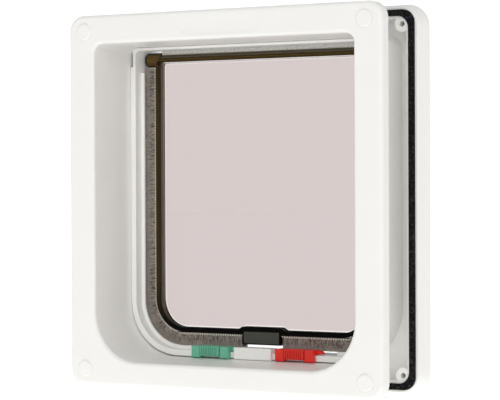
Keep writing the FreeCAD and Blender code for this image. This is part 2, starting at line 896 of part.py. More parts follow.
def add_strip(sketch, side, near_offset, far_offset, start, end):
    """A band that follows the flap's edge from below a knuckle round to the magnet holder."""
    near_x, near_z, near_corner = near_offset
    far_x, far_z, far_corner = far_offset
    corners = [
        (near_x * side, start, None),
        (near_x * side, near_z, near_corner),
        (end * side, near_z, None),
        (end * side, far_z, None),
        (far_x * side, far_z, far_corner),
        (far_x * side, start, None),
    ]
    add_loop(sketch, corners if side > 0 else corners[::-1])


def make_brush(name, side):
    """Pile strip and its woven backing on one side of the flap."""
    edge = (flap_outside, -flap_bottom, size_of("flap_corner"))
    thick = size_of("backing_thickness")
    root = (flap_outside + thick, -(flap_bottom + thick), size_of("flap_corner") + thick)
    bead_crest = collar_inside - "bead_height"
    tip_x = bead_crest - "pile_side_gap"
    tip_corner = size_of("flap_corner") + (tip_x - flap_outside)
    tip = (tip_x, -(flap_bottom + "pile_drop"), tip_corner)
    start = hinge_z - "pile_start_drop"
    end = holder_outside + "pile_end_gap"
    for label, width, inner, outer in (
        (f"{name}_brush_backing", "backing_width", edge, root),
        (f"{name}_brush_seal", "pile_width", root, tip),
    ):
        body = new_body(label)
        sketch = front_sketch(body, hinge_y - size_of(width) / 2)
        add_strip(sketch, side, inner, outer, start, end)
        pad(body, sketch, width)


def make_top_brush():
    """Pile strip along the top of the hinge rail."""
    body = new_body("top_brush_seal")
    sketch = front_sketch(body, hinge_y - size_of("top_pile_width") / 2)
    half = collar_inside - "knuckle_gap" - "knuckle_length" - "pile_end_gap"
    add_rectangle(sketch, -half, half, rail_top, rail_top + "top_pile_height")
    pad(body, sketch, "top_pile_width")
    return body


def make_keeper():
    """Cover fixed over the middle of the collar's lip, between the two sliders."""
    body = new_body("keeper_cover")
    half = size_of("keeper_width") / 2
    front = collar_front - "keeper_front"
    top = lock_floor + "keeper_rise"
    bottom = top - "keeper_drop"

    sketch = front_sketch(body, front)
    add_rectangle(sketch, -half, half, bottom, top)
    pad(body, sketch, "keeper_front")
    dress(body, "Chamfer", lambda p: near(p.y, front), "keeper_chamfer")

    sketch = front_sketch(body, collar_front)
    add_rectangle(sketch, -half + "keeper_tongue_room", half, lock_floor, top)
    pad(body, sketch, "keeper_rear")

    sketch = level_sketch(body, lock_floor)
    half_keel = half / 2
    add_rectangle(sketch, -half_keel, half_keel, keel_front, keel_front + "keel_width")
    pad(body, sketch, "keel_height")

    sketch = front_sketch(body, front)
    margin = size_of("keeper_panel_margin")
    add_rectangle(sketch, -half + margin, half - margin, bottom + margin, top - margin)
    pocket(body, sketch, "keeper_panel_depth")
    return body


def make_slider(name, centre):
    """Lock slider: two feet and a ribbed grip in front of the lip, a bridge over it and a tongue."""
    body = new_body(name)
    half = size_of("slider_length") / 2
    left = centre - half
    right = centre + half
    back = collar_front - "slider_gap"
    under = lock_floor + "slider_gap"
    top = lock_floor + "slider_rise"

    sketch = front_sketch(body, back - "slider_plate")
    add_rectangle(sketch, left, right, top - "slider_plate_drop", top)
    pad(body, sketch, "slider_plate")

    sketch = front_sketch(body, back)
    add_rectangle(sketch, left, right, under, top)
    pad(body, sketch, "slider_reach")

    foot_front = back - "foot_thickness"
    sketch = front_sketch(body, foot_front)
    for start in (left, right - "foot_width"):
        add_rectangle(sketch, start, start + "foot_width", top - "foot_drop", top)
    pad(body, sketch, "foot_thickness")
    dress(body, "Chamfer", lambda p: near(p.y, foot_front), "grip_chamfer")

    grip_front = back - "grip_thickness"
    half_grip = size_of("grip_width") / 2
    grip_top = lock_floor + "grip_rise"
    sketch = front_sketch(body, grip_front)
    add_rectangle(sketch, centre - half_grip, centre + half_grip, grip_top - "grip_drop", grip_top)
    pad(body, sketch, "grip_thickness")
    dress(body, "Chamfer", lambda p: near(p.y, grip_front), "grip_chamfer")

    pitch = size_of("rib_pitch")
    ribbed = size_of("grip_width") - size_of("rib_margin") * 2
    grooves = int(ribbed.value / pitch.value)
    sketch = front_sketch(body, grip_front)
    for number in range(grooves):
        middle = centre + pitch * (number - (grooves - 1) / 2)
        cut = size_of("rib_groove_width") / 2
        add_rectangle(sketch, middle - cut, middle + cut, grip_top - "grip_drop" - OVERCUT, grip_top + OVERCUT)
    pocket(body, sketch, "grip_groove")

    sketch = front_sketch(body, back + "tongue_setback")
    tip = right + "tongue_length"
    shoulder = tip - "tongue_taper"
    tongue_top = lock_floor + "tongue_rise"
    tip_height = under + "tongue_tip_height"
    add_loop(sketch, [
        (right - OVERCUT, under, None),
        (right, under, None),
        (tip, tip_height, None),
        (shoulder, tongue_top, None),
        (right - OVERCUT, tongue_top, None),
    ])
    pad(body, sketch, "tongue_width")

    sketch = level_sketch(body, under)
    half_keel = size_of("keel_length") / 2
    add_rectangle(sketch, centre - half_keel, centre + half_keel, keel_front, keel_front + "keel_width")
    pad(body, sketch, size_of("keel_height") + "slider_gap")
    return body


def check_document():
    """Every feature has to be computed, and every sub-part has to be one valid solid or more."""
    for item in doc.Objects:
        if {"Invalid", "Error"} & set(item.State):
            raise RuntimeError(f"{item.Label} failed: {item.State}")
    for part in sub_parts():
        shape = part.Shape
        if shape.isNull() or not shape.isValid() or not shape.Solids:
            raise RuntimeError(f"{part.Label} is not a valid solid")


def sub_parts():
    bodies = [item for item in doc.Objects if item.TypeId == "PartDesign::Body"]
    pins = [item for item in doc.Objects if item.TypeId == "Part::Fuse"]
    return bodies + pins


make_indoor_frame()
for place, (cap_x, cap_z) in SCREW_PLACES.items():
    make_screw_cap(place, cap_x, cap_z)
make_outdoor_frame()
make_gasket()
make_hinge_pin("hinge_pin_left", -1)
make_hinge_pin("hinge_pin_right", 1)
make_flap()
make_flap_magnet()
make_frame_magnet()
make_brush("left", -1)
make_brush("right", 1)
make_top_brush()
make_keeper()
make_slider("green_lock_slider", -size_of("slider_offset"))
make_slider("red_lock_slider", size_of("slider_offset"))

doc.recompute()
check_document()
os.makedirs("parts", exist_ok=True)
for part in sub_parts():
    part.Shape.exportStep(f"parts/{part.Label}.step")
    print(f"{part.Label}: {part.Shape.Volume:.1f} cubic mm, {len(part.Shape.Solids)} solid")
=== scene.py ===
import math
import bpy
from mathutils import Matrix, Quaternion, Vector


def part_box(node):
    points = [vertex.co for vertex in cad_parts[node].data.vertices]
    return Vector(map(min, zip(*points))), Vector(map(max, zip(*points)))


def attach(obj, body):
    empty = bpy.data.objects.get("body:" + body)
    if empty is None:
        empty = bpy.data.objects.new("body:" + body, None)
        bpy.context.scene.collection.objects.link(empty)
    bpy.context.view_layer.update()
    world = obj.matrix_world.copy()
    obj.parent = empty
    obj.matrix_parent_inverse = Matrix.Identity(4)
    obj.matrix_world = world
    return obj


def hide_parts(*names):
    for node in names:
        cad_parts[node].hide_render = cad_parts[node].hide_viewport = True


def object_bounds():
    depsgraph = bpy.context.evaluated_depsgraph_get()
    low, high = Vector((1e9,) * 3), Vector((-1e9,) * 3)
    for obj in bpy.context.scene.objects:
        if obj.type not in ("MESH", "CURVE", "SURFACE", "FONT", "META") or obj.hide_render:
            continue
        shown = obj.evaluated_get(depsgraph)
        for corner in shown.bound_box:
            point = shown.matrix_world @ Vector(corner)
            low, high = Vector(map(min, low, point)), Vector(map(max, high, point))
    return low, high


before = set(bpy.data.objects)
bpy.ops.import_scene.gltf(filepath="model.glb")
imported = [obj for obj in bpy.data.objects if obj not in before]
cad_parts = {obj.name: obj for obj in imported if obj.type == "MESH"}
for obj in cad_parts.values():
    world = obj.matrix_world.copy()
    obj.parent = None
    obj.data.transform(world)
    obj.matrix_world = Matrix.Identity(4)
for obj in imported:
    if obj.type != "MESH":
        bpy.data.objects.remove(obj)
CAD_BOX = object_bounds()

bl_info = {
    "name": "Cat flap",
    "version": (1, 0, 0),
    "blender": (4, 5, 0),
    "location": "View3D > Sidebar > Cat flap",
    "description": "Finishes, brush seals and studio for a cat flap",
    "category": "Object",
}

MM = 0.001
FLAP_LOW, FLAP_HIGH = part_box("flap_panel")
FLAP_MIDDLE_DEPTH = (FLAP_LOW[1] + FLAP_HIGH[1]) / 2

# The clear pane's outline: rounded lower corners and a step over the magnet
PANE_HALF_DEPTH = 1.15 * MM
PANE_HALF_WIDTH = 64.4 * MM
PANE_LOW = -71.0 * MM
PANE_TOP = 76.55 * MM
PANE_CORNER = 15.0 * MM
STEP_RISE = 1.5 * MM
STEP_FOOT = 14.5 * MM
STEP_RAMP = 2.5 * MM

# The pane's painted highlight along its edge, and how far the clear plastic runs past the outline, which it
# doesn't at the foot
EDGE_HIGHLIGHT_COLOUR = (0.98, 0.96, 0.94)
EDGE_HIGHLIGHT_START = 0.9 * MM
EDGE_HIGHLIGHT_FULL = 0.6 * MM
CLEAR_SPREAD = 2.6 * MM
CLEAR_DRAWN_IN = 2.65 * MM
FOOT_MARGIN = 2.0 * MM

# The rim: how deep its face starts, and the heights and depths over which its tones and its painted wall
# highlight change
RIM_FACE_DEPTH = 4.2 * MM
WALL_HIGHLIGHT_DEPTHS = (2.0 * MM, 1.5 * MM)
WALL_HIGHLIGHT_HEIGHTS = (-60.0 * MM, -35.0 * MM)
DARK_WALL_HEIGHTS = (-60.0 * MM, -71.0 * MM)
DARK_FACE_HEIGHTS = (-44.0 * MM, -69.0 * MM)

# The rail: the height that its bands of painted highlight and shade cover, and each band's place on it and
# brightness
RAIL_HEIGHT = 3.35 * MM
RAIL_SHADING_BANDS = ((0.09, 0.7), (0.34, 0.8), (0.48, 1.5), (0.62, 0.7), (0.78, 0.8))
RAIL_TOP_PLACE = 0.88
EDGE_HIGHLIGHT_PLACE = 0.05
RAIL_OVERLAP = 0.1 * MM
RAIL_CLEAR = 62.4 * MM
RAIL_END_HEIGHT = 0.35 * MM

# The knuckles: where they stand, their painted shade as a dark outline and a shaded underside, and the dark
# spot beside them
KNUCKLE_START = 66.2 * MM
KNUCKLE_END = 75.9 * MM
KNUCKLE_LOW = 74.0 * MM
KNUCKLE_HIGH = 82.55 * MM
TOP_OUTLINE_SHADE = (KNUCKLE_HIGH - 1.6 * MM, KNUCKLE_HIGH - 0.7 * MM)
END_OUTLINE_SHADE = (KNUCKLE_END - 2.3 * MM, KNUCKLE_END - 1.4 * MM)
UNDERSIDE = (KNUCKLE_HIGH - 5.0 * MM, KNUCKLE_LOW)
SEAT_X = 66.0 * MM
SEAT_Z = 76.5 * MM
SEAT_RADIUS = 1.6 * MM

# The reach of the painted shade in the sliders' grooves, and the fine grain of moulded plastic
GROOVE_SHADE_REACH = 1.2 * MM
GRAIN_DEPTH = 0.012 * MM

# The side brushes: the turn at the corner, the sewn edge, the painted light on the tips, the stitches' wave
# in radians per metre and the shade that the rim throws on the backing
BRUSH_CORNER = 19.3 * MM
BRUSH_MIDDLE = 3.0 * MM
SEWN_EDGE = (0.8 * MM, 0.55 * MM)
TIP_PAINTED_LIGHT = (3.5 * MM, 6.5 * MM)
STITCH_TURN = 4.2 / MM
RIM_SHADE = (0.25 * MM, 0.45 * MM)
RIM_SHADE_END = 0.9 * MM

# The top brush: where its pile turns pale above the root, and how much finer it is than the side brushes
TOP_PALE = (1.0 * MM, 1.7 * MM)
TOP_FINENESS = 0.8

# The studio's soft front light and the camera that was fitted to the photograph
KEY_PLACE = (0.9, -2.0, 0.8)
CAMERA_PLACE = (554.85, -955.0, 8.89)
CAMERA_AIM = (19.0, -43.4, 0.28)
CAMERA_ROLL = math.radians(-0.229)
SENSOR_WIDTH = 36.0


class Value:
    """A number or colour that changes over a surface, kept as a node socket so that sums can be written."""

    def __init__(self, finish, socket):
        self.finish = finish
        self.socket = socket

    def sum_of(self, operation, first, second):
        return self.finish.node("ShaderNodeMath", {0: first, 1: second}, operation=operation)

    def __add__(self, other):
        return self.sum_of("ADD", self, other)

    def __radd__(self, other):
        return self.sum_of("ADD", other, self)

    def __sub__(self, other):
        return self.sum_of("SUBTRACT", self, other)

    def __rsub__(self, other):
        return self.sum_of("SUBTRACT", other, self)

    def __mul__(self, other):
        return self.sum_of("MULTIPLY", self, other)

    def __rmul__(self, other):
        return self.sum_of("MULTIPLY", other, self)

    def __gt__(self, other):
        return self.sum_of("GREATER_THAN", self, other)

    def __lt__(self, other):
        return self.sum_of("LESS_THAN", self, other)

    def __abs__(self):
        return self.sum_of("ABSOLUTE", self, 0.0)

    def __pow__(self, other):
        return self.sum_of("POWER", self, other)

    def at_least(self, other):
        return self.sum_of("MAXIMUM", self, other)

    def at_most(self, other):
        return self.sum_of("MINIMUM", self, other)

    def rising(self, low, high):
        """0 below low, 1 above high and even in between. With low over high it falls."""
        return self.finish.node("ShaderNodeMapRange", {"Value": self, "From Min": low, "From Max": high})


class Finish:
    """A material that is being made: its nodes and the shader that they feed."""

    def __init__(self, name, **uniform):
        self.material = bpy.data.materials.new(name)
        self.material.use_nodes = True
        self.tree = self.material.node_tree
        self.shader = self.tree.nodes["Principled BSDF"]
        for socket, value in uniform.items():
            self.shader.inputs[socket.replace("_", " ")].default_value = value

    def feed(self, socket, value):
        if isinstance(value, Value):
            self.tree.links.new(value.socket, socket)
        else:
            socket.default_value = value

    def node(self, kind, sockets=None, output=0, stops=None, **settings):
        """Any node: its settings first, then the values or links of its sockets."""
        made = self.tree.nodes.new(kind)
        for name, value in settings.items():
            setattr(made, name, value)
        if stops:
            ramp = made.color_ramp
            while len(ramp.elements) < len(stops):
                ramp.elements.new(0.5)
            for element, (place, colour) in zip(ramp.elements, stops):
                element.position = place
                element.color = (*colour, 1.0)
        for name, value in (sockets or {}).items():
            self.feed(made.inputs[name], value)
        return Value(self, made.outputs[output])

    def place(self):
        return self.node("ShaderNodeTexCoord", output="Object")

    def axis(self, letter):
        return self.node("ShaderNodeSeparateXYZ", {0: self.place()}, output=letter)

    def noise(self, scale, detail=3.0, roughness=0.5, stretch=(1.0, 1.0, 1.0)):
        spot = self.node("ShaderNodeMapping", {"Vector": self.place(), "Scale": stretch})
        return self.node(
            "ShaderNodeTexNoise",
            {"Vector": spot, "Scale": scale, "Detail": detail, "Roughness": roughness},
            output="Fac",
        )

    def ramp(self, factor, *stops):
        return self.node("ShaderNodeValToRGB", {"Fac": factor}, output="Color", stops=stops)

    def mix(self, factor, first, second):
        sockets = {"Factor": factor, 6: colour4(first), 7: colour4(second)}
        return self.node("ShaderNodeMix", sockets, output=2, data_type="RGBA")

    def paint(self, colour=None, roughness=None, metallic=None):
        for name, value in (("Base Color", colour), ("Roughness", roughness), ("Metallic", metallic)):
            if value is not None:
                self.feed(self.shader.inputs[name], value)
        return self

    def blend_shader(self, factor, other):
        """Shows the other shader where the factor is 0 and this finish's own where it is 1."""
        own = Value(self, self.shader.outputs["BSDF"])
        mixed = self.node("ShaderNodeMixShader", {0: factor, 1: other, 2: own}, output="Shader")
        self.feed(self.tree.nodes["Material Output"].inputs["Surface"], mixed)
        return self

    def bump(self, height, depth, strength=1.0):
        """A relief as deep as depth in metres."""
        relief = self.node(
            "ShaderNodeBump", {"Height": height, "Distance": depth, "Strength": strength}, output="Normal"
        )
        self.feed(self.shader.inputs["Normal"], relief)
        return self


def colour4(colour):
    if isinstance(colour, Value):
        return colour
    return (*tuple(colour)[:3], 1.0)


def shade(colour, factor):
    return tuple(channel * factor for channel in tuple(colour)[:3])


def grain_plastic(finish, tone, roughness, grain):
    """Gives a plastic its colour, an uneven gloss and a fine spark-eroded grain."""
    wear = finish.noise(260.0, detail=5.0, roughness=0.6)
    finish.paint(tone, roughness + 0.1 * wear)
    return finish.bump(finish.noise(grain, detail=2.0), GRAIN_DEPTH, strength=0.35)


def moulded_plastic(name, colour, roughness, grain):
    """Moulded plastic with faint flow marks in the colour."""
    finish = Finish(name, IOR=1.49)
    flow = finish.noise(45.0, detail=4.0)
    tone = finish.mix(flow, shade(colour, 0.975), shade(colour, 1.02))
    return grain_plastic(finish, tone, roughness, grain).material


def ribbed_plastic(name, colour, roughness):
    """Bright moulded plastic with painted shade down in the grooves between its grip ribs."""
    finish = Finish(name, IOR=1.49)
    reach = {"Distance": GROOVE_SHADE_REACH}
    open_to_light = finish.node("ShaderNodeAmbientOcclusion", reach, output="AO", samples=8)
    flow = finish.mix(finish.noise(60.0), shade(colour, 0.97), shade(colour, 1.05))
    # Painted shade: the colour falls to a dim copy where the grooves close in around a point
    tone = finish.mix(open_to_light.rising(0.25, 0.65), shade(colour, 0.28), flow)
    return grain_plastic(finish, tone, roughness, 1800.0).material


def inside_pane(x, z):
    """Distance in from the pane's outline: rounded lower corners and a step over the magnet."""
    across = (abs(x) - (PANE_HALF_WIDTH - PANE_CORNER)).at_least(0.0)
    down = (PANE_LOW + PANE_CORNER - z).at_least(0.0)
    rounded = PANE_CORNER - (across * across + down * down) ** 0.5
    stepped = z - PANE_LOW - abs(x).rising(STEP_FOOT, STEP_FOOT - STEP_RAMP) * STEP_RISE
    return rounded.at_most(PANE_TOP - z).at_most(stepped)


def rim_tone(finish, colours, depth, z):
    """The rim: streaked faces and paler walls, with a painted highlight on the walls near the pane, both
    almost black towards the foot.
    """
    black = shade(colours.rim, 0.03)
    streaks = finish.noise(300.0, stretch=(1.0, 1.0, 0.04))
    face = finish.mix(streaks.rising(0.4, 0.6), shade(colours.rim, 0.8), shade(colours.rim, 1.25))
    face = finish.mix(z.rising(*DARK_FACE_HEIGHTS), face, black)
    # Painted highlight: the walls turn three times paler near the pane and higher up
    pale = depth.rising(*WALL_HIGHLIGHT_DEPTHS) * z.rising(*WALL_HIGHLIGHT_HEIGHTS)
    wall = finish.mix(pale, colours.rim_side, shade(colours.rim_side, 3.0))
    wall = finish.mix(z.rising(*DARK_WALL_HEIGHTS), wall, black)
    return finish.mix(depth > RIM_FACE_DEPTH, wall, face)


def rail_tone(finish, colours, x, z):
    """The rail: bands of painted highlight and shade along its round face, over the pane's painted edge
    highlight except at the rail's ends.
    """
    # Painted highlight and shade: bright and dark bands across the round rail, with the pane's painted edge
    # highlight at its foot
    bands = finish.ramp(
        z.rising(PANE_TOP, PANE_TOP + RAIL_HEIGHT),
        (0.0, EDGE_HIGHLIGHT_COLOUR),
        (EDGE_HIGHLIGHT_PLACE, EDGE_HIGHLIGHT_COLOUR),
        *((place, shade(colours.rail, brightness)) for place, brightness in RAIL_SHADING_BANDS),
        (RAIL_TOP_PLACE, colours.rail_top),
    )
    at_end = (abs(x) > RAIL_CLEAR) * (z < PANE_TOP + RAIL_END_HEIGHT)
    return finish.mix(at_end, bands, shade(colours.rail, 0.7))


def knuckle_tone(finish, colours, x, z):
    """The knuckles: painted shade as a dark outline above and at the end, and painted shade below."""
    # Painted shade: dark where the round barrel turns away at its top and end, dimmer on its underside
    outline = z.rising(*TOP_OUTLINE_SHADE).at_least(abs(x).rising(*END_OUTLINE_SHADE))
    barrel = finish.mix(outline, colours.knuckle, shade(colours.knuckle, 0.03))
    return finish.mix(z.rising(*UNDERSIDE), barrel, shade(colours.knuckle, 0.5))


def clear_plastic(name, colours):
    """Tinted clear plastic: pale through the thin pane, dark where the rim, rail and knuckles are thick."""
    finish = Finish(name, IOR=1.45, Transmission_Weight=1.0, Specular_Tint=(0.3, 0.3, 0.3, 1.0))
    x, y, z = (finish.axis(letter) for letter in "XYZ")
    depth = abs(y - FLAP_MIDDLE_DEPTH)
    inside = inside_pane(x, z)

    thick = rim_tone(finish, colours, depth, z)
    thick = finish.mix(z > PANE_TOP - RAIL_OVERLAP, thick, rail_tone(finish, colours, x, z))
    at_knuckle = (abs(x) > KNUCKLE_START) * (z > KNUCKLE_LOW)
    thick = finish.mix(at_knuckle, thick, knuckle_tone(finish, colours, x, z))
    to_seat = ((abs(x) - SEAT_X) ** 2 + (z - SEAT_Z) ** 2) ** 0.5
    in_seat = to_seat.rising(SEAT_RADIUS, SEAT_RADIUS * 0.6)
    thick = finish.mix(in_seat * 0.8, thick, shade(colours.knuckle, 0.04))
    sockets = {
        "Base Color": thick,
        "Roughness": 0.2 + 0.45 * z.rising(*DARK_FACE_HEIGHTS),
        "IOR": 1.45,
        "Specular Tint": (0.12, 0.12, 0.12, 1.0),
    }
    mass = finish.node("ShaderNodeBsdfPrincipled", sockets, output="BSDF")

    low = z.rising(0.0, PANE_LOW + FOOT_MARGIN)
    # Painted highlight: a near-white line along the pane's edge, brighter towards the foot
    painted_edge_highlight = inside.rising(EDGE_HIGHLIGHT_START, EDGE_HIGHLIGHT_FULL) * (0.25 + 0.3 * low)
    pane = finish.mix(painted_edge_highlight, colours.pane, EDGE_HIGHLIGHT_COLOUR)
    finish.paint(pane, 0.02 + 0.05 * finish.noise(180.0, detail=4.0))
    finish.bump(finish.noise(35.0, detail=1.0), 0.02 * MM, strength=0.15)
    thin = (depth < PANE_HALF_DEPTH) * (inside > low * CLEAR_DRAWN_IN - CLEAR_SPREAD)
    return finish.blend_shader(thin, mass).material


def foam(name, colour):
    """Closed-cell foam: matt, with open cells at the cut face."""
    finish = Finish(name, Specular_IOR_Level=0.15)
    sockets = {"Vector": finish.place(), "Scale": 1500.0}
    cells = finish.node("ShaderNodeTexVoronoi", sockets, output="Distance")
    lumps = finish.noise(900.0, roughness=0.75)
    stops = ((0.42, shade(colour, 0.2)), (0.54, shade(colour, 0.5)), (0.64, shade(colour, 4.0)))
    finish.paint(finish.ramp(lumps, *stops), 0.75 + 0.2 * cells)
    return finish.bump(cells + lumps, 0.25 * MM, strength=0.8).material


def stitches(finish):
    """The stitches that bind the pile to its backing: a wave along the strip, a little uneven."""
    along = finish.axis("X") - finish.axis("Z")
    stitch = finish.node("ShaderNodeMath", {0: along * STITCH_TURN}, operation="SINE") * 0.5 + 0.5
    return stitch * 0.85 + finish.noise(700.0, detail=2.0) * 0.3


def pile_yarn(name, colours, root_x, root_z):
    """Nylon pile: streaks that run with the fibres, down the side, round the corner and along the bottom, and
    painted light on the tips.
    """
    finish = Finish(name, Specular_IOR_Level=0.2)
    x, y, z = (finish.axis(letter) for letter in "XYZ")
    side = abs(x) - (root_x - BRUSH_CORNER)
    foot = (root_z + BRUSH_CORNER) - z
    round_x, round_z = side.at_least(0.0), foot.at_least(0.0)
    turn = finish.node("ShaderNodeMath", {0: round_z, 1: round_x}, operation="ARCTAN2")
    along = foot.at_most(0.0) + turn * (BRUSH_CORNER + BRUSH_MIDDLE) - side.at_most(0.0)
    out = (round_x * round_x + round_z * round_z) ** 0.5 - BRUSH_CORNER
    spot = finish.node("ShaderNodeCombineXYZ", {0: along + x * 0.02, 1: y * 0.5, 2: out * 0.2}, output=0)
    grain = {"Vector": spot, "Scale": 1350.0, "Detail": 2.0, "Roughness": 0.7}
    streaks = finish.node("ShaderNodeTexNoise", grain, output="Fac")
    mottle = finish.noise(1000.0, detail=2.0, roughness=0.7)
    mixed = streaks * 0.6 + mottle * 0.3 + finish.noise(160.0, detail=2.0) * 0.1
    light = colours.pile_light
    tone = finish.ramp(mixed, (0.40, colours.pile_dark), (0.49, shade(light, 0.62)), (0.58, light))
    # Painted light: the free tips are made paler, as if lit past the shade among the fibres
    lit = finish.mix(out.rising(*TIP_PAINTED_LIGHT) * 0.6, tone, shade(light, 1.35))
    bound = out.rising(*SEWN_EDGE) * stitches(finish).rising(0.52, 0.62)
    return finish.paint(finish.mix(bound, lit, colours.thread), 0.8 - 0.2 * streaks).material


def rooted_yarn(name, root_colour, light, root):
    """Pile that is dark at its root and pale and mottled above it."""
    finish = Finish(name, Specular_IOR_Level=0.2)
    clumps = finish.noise(1300.0, detail=2.0, roughness=0.7)
    pale = finish.ramp(clumps, (0.38, shade(light, 0.75)), (0.62, shade(light, 1.1)))
    start, end = TOP_PALE
    height = finish.axis("Z").rising(root + start, root + end)
    return finish.paint(finish.mix(height, root_colour, pale), 0.8 - 0.2 * clumps).material


def woven_backing(name, thread, gap_colour, shadow_low):
    """Woven strip: pale threads, darker gaps between the stitches and shade close under the rim."""
    finish = Finish(name, Specular_IOR_Level=0.2)
    uneven = stitches(finish)
    tone = finish.ramp(uneven, (0.54, gap_colour), (0.62, thread))
    height = finish.axis("Z") - shadow_low
    shadow = height.rising(*RIM_SHADE) * (height < RIM_SHADE_END)
    finish.paint(finish.mix(shadow, tone, shade(gap_colour, 0.3)), 0.9 - 0.1 * uneven)
    return finish.bump(uneven, 0.15 * MM, strength=0.8).material


def ground_metal(name, colour, roughness, metallic):
    """Ground or sintered metal: fine pits and a dull, slightly uneven shine."""
    finish = Finish(name)
    grit = finish.noise(1800.0, roughness=0.7)
    tone = finish.mix(grit, shade(colour, 0.85), shade(colour, 1.15))
    finish.paint(tone, roughness + 0.2 * grit, metallic)
    return finish.bump(grit, 0.03 * MM, strength=0.6).material


def dress(node, material):
    """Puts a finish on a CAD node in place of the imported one."""
    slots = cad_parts[node].data.materials
    slots.clear()
    slots.append(material)


def colour_setting(label, note, default):
    return bpy.props.FloatVectorProperty(
        name=label, description=note, default=default, size=3, min=0.0, max=1.0, subtype="COLOR"
    )


def length_setting(label, note, default):
    return bpy.props.FloatProperty(name=label, description=note, default=default, min=0.0, unit="LENGTH")


def number_setting(label, note, default):
    return bpy.props.FloatProperty(name=label, description=note, default=default)


class CatFlapFinishes(bpy.types.PropertyGroup):
    """Colours of the parts."""

    white: colour_setting("White", "Colour of both frames, the caps and the cover", (0.95, 0.943, 0.914))
    pane: colour_setting("Pane", "Tint of the thin pane", (0.592, 0.525, 0.517))
    rim: colour_setting("Rim", "Colour of the rim's faces", (0.040, 0.026, 0.010))
    rim_side: colour_setting("Rim sides", "Colour of the rim's walls", (0.115, 0.095, 0.065))
    rail: colour_setting("Rail", "Colour of the hinge rail", (0.060, 0.039, 0.012))
    rail_top: colour_setting("Rail top", "Colour of the rail's upper edge", (0.120, 0.100, 0.064))
    knuckle: colour_setting("Knuckles", "Colour of the two knuckles", (0.115, 0.070, 0.025))
    foam: colour_setting("Gasket", "Colour of the foam gasket", (0.012, 0.012, 0.013))
    pile_dark: colour_setting("Pile, dark", "Darkest fibres of the side brushes", (0.080, 0.066, 0.058))
    pile_light: colour_setting("Pile, light", "Lightest fibres of the side brushes", (0.37, 0.32, 0.28))
    top_pile: colour_setting("Top pile", "Lightest fibres of the brush on the rail", (0.90, 0.88, 0.83))
    thread: colour_setting("Backing", "Thread of the woven backing", (1.0, 0.95, 0.86))
    green: colour_setting("Green lock", "Colour of the left slider", (0.15, 0.51, 0.34))
    red: colour_setting("Red lock", "Colour of the right slider", (0.82, 0.022, 0.012))
    magnet: colour_setting("Magnet", "Colour of the bar magnets", (0.050, 0.052, 0.042))


class CatFlapBrushes(bpy.types.PropertyGroup):
    """Sizes of the brush seals."""

    fibre_radius: length_setting("Fibre radius", "Radius of a fibre at its root", 0.17 * MM)
    fibre_taper: number_setting("Taper", "Radius of a tip over that of a root", 0.75)
    column_pitch: length_setting("Column pitch", "Distance between fibres along the edge", 0.30 * MM)
    row_pitch: length_setting("Row pitch", "Distance between fibres across the strip", 0.50 * MM)
    stray: length_setting("Stray", "How far fibres wander from their line", 0.15 * MM)
    reach: length_setting("Reach", "How far the side fibres stand out past their block", 1.5 * MM)
    sweep: length_setting("Sweep", "How far the lower fibres hang below their block", 1.6 * MM)
    tuck: length_setting("Tuck", "How far the side fibres run up under the knuckle", 0.45 * MM)
    rise: length_setting("Rise", "How far the top fibres stand above their block", 0.35 * MM)


class CatFlapStage(bpy.types.PropertyGroup):
    """Sizes and strengths of the studio."""

    floor_width: length_setting("Floor width", "Side of the square floor", 12.0)
    floor_glow: number_setting("Floor glow", "Strength of the floor's own light", 0.5)
    sky_front: number_setting("Front sky", "Strength of the light before the part", 0.22)
    sky_back: number_setting("Back sky", "Strength of the light behind the part", 0.40)
    sky_above: number_setting("Sky above", "Further strength overhead", 0.45)
    sky_seen: number_setting("Sky seen", "Strength where the sky is looked at, also through the pane", 1.155)
    key: number_setting("Key light", "Strength of the soft front light", 0.70)
    softness: number_setting("Softness", "Width of the front light in radians", math.radians(50))
    lens: number_setting("Lens", "Focal length on a 36 mm sensor", 146.1)


def clear_selection():
    if bpy.context.mode != "OBJECT":
        bpy.ops.object.mode_set(mode="OBJECT")
    bpy.ops.object.select_all(action="DESELECT")


def finish_piece(piece, name, body, material):
    """Names a new piece, gives it its finish and hangs it on its body."""
    piece.name = name
    piece.data.name = name
    piece.data.materials.clear()
    piece.data.materials.append(material)
    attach(piece, body)
    return piece


def repeat(piece, step, count):
    """Copies a piece in a straight row."""
    row = piece.modifiers.new("row", "ARRAY")
    row.use_relative_offset = False
    row.use_constant_offset = True
    row.constant_offset_displace = step
    row.count = count
    bpy.ops.object.modifier_apply(modifier=row.name)


def add_fibre(radius, taper, length):
    """One tapered fibre that stands on the origin, with a joint half way up."""
    clear_selection()
    bpy.ops.mesh.primitive_cone_add(
        vertices=3, radius1=radius, radius2=radius * taper, depth=length, location=(0, 0, length / 2)
    )
    bpy.ops.object.transform_apply(location=True)
    fibre = bpy.context.object
    bpy.ops.object.mode_set(mode="EDIT")
    bpy.ops.mesh.select_all(action="SELECT")
    bpy.ops.mesh.bisect(plane_co=(0, 0, length / 2), plane_no=(0, 0, 1))
    bpy.ops.object.mode_set(mode="OBJECT")
    return fibre


def fibre_row(sizes, length, width, pitch):
    """Fibres side by side across the strip, centred on the origin in depth."""
    radius = sizes.fibre_radius
    fibre = add_fibre(radius, sizes.fibre_taper, length)
    count = max(2, round((width - 2 * radius) / pitch) + 1)
    step = (width - 2 * radius) / (count - 1)
    repeat(fibre, (0, step, 0), count)
    bpy.ops.transform.translate(value=(0, -(width - 2 * radius) / 2, 0))
    bpy.ops.object.transform_apply(location=True)
    return fibre


def pick(piece):
    """Selects one piece and nothing else, for the steps that follow."""
    clear_selection()
    piece.select_set(True)
    bpy.context.view_layer.objects.active = piece


def turn_row(row, angle):
    """Turns a row of fibres about the depth axis."""
    pick(row)
    row.rotation_euler = (0, angle, 0)
    bpy.ops.object.transform_apply(rotation=True)


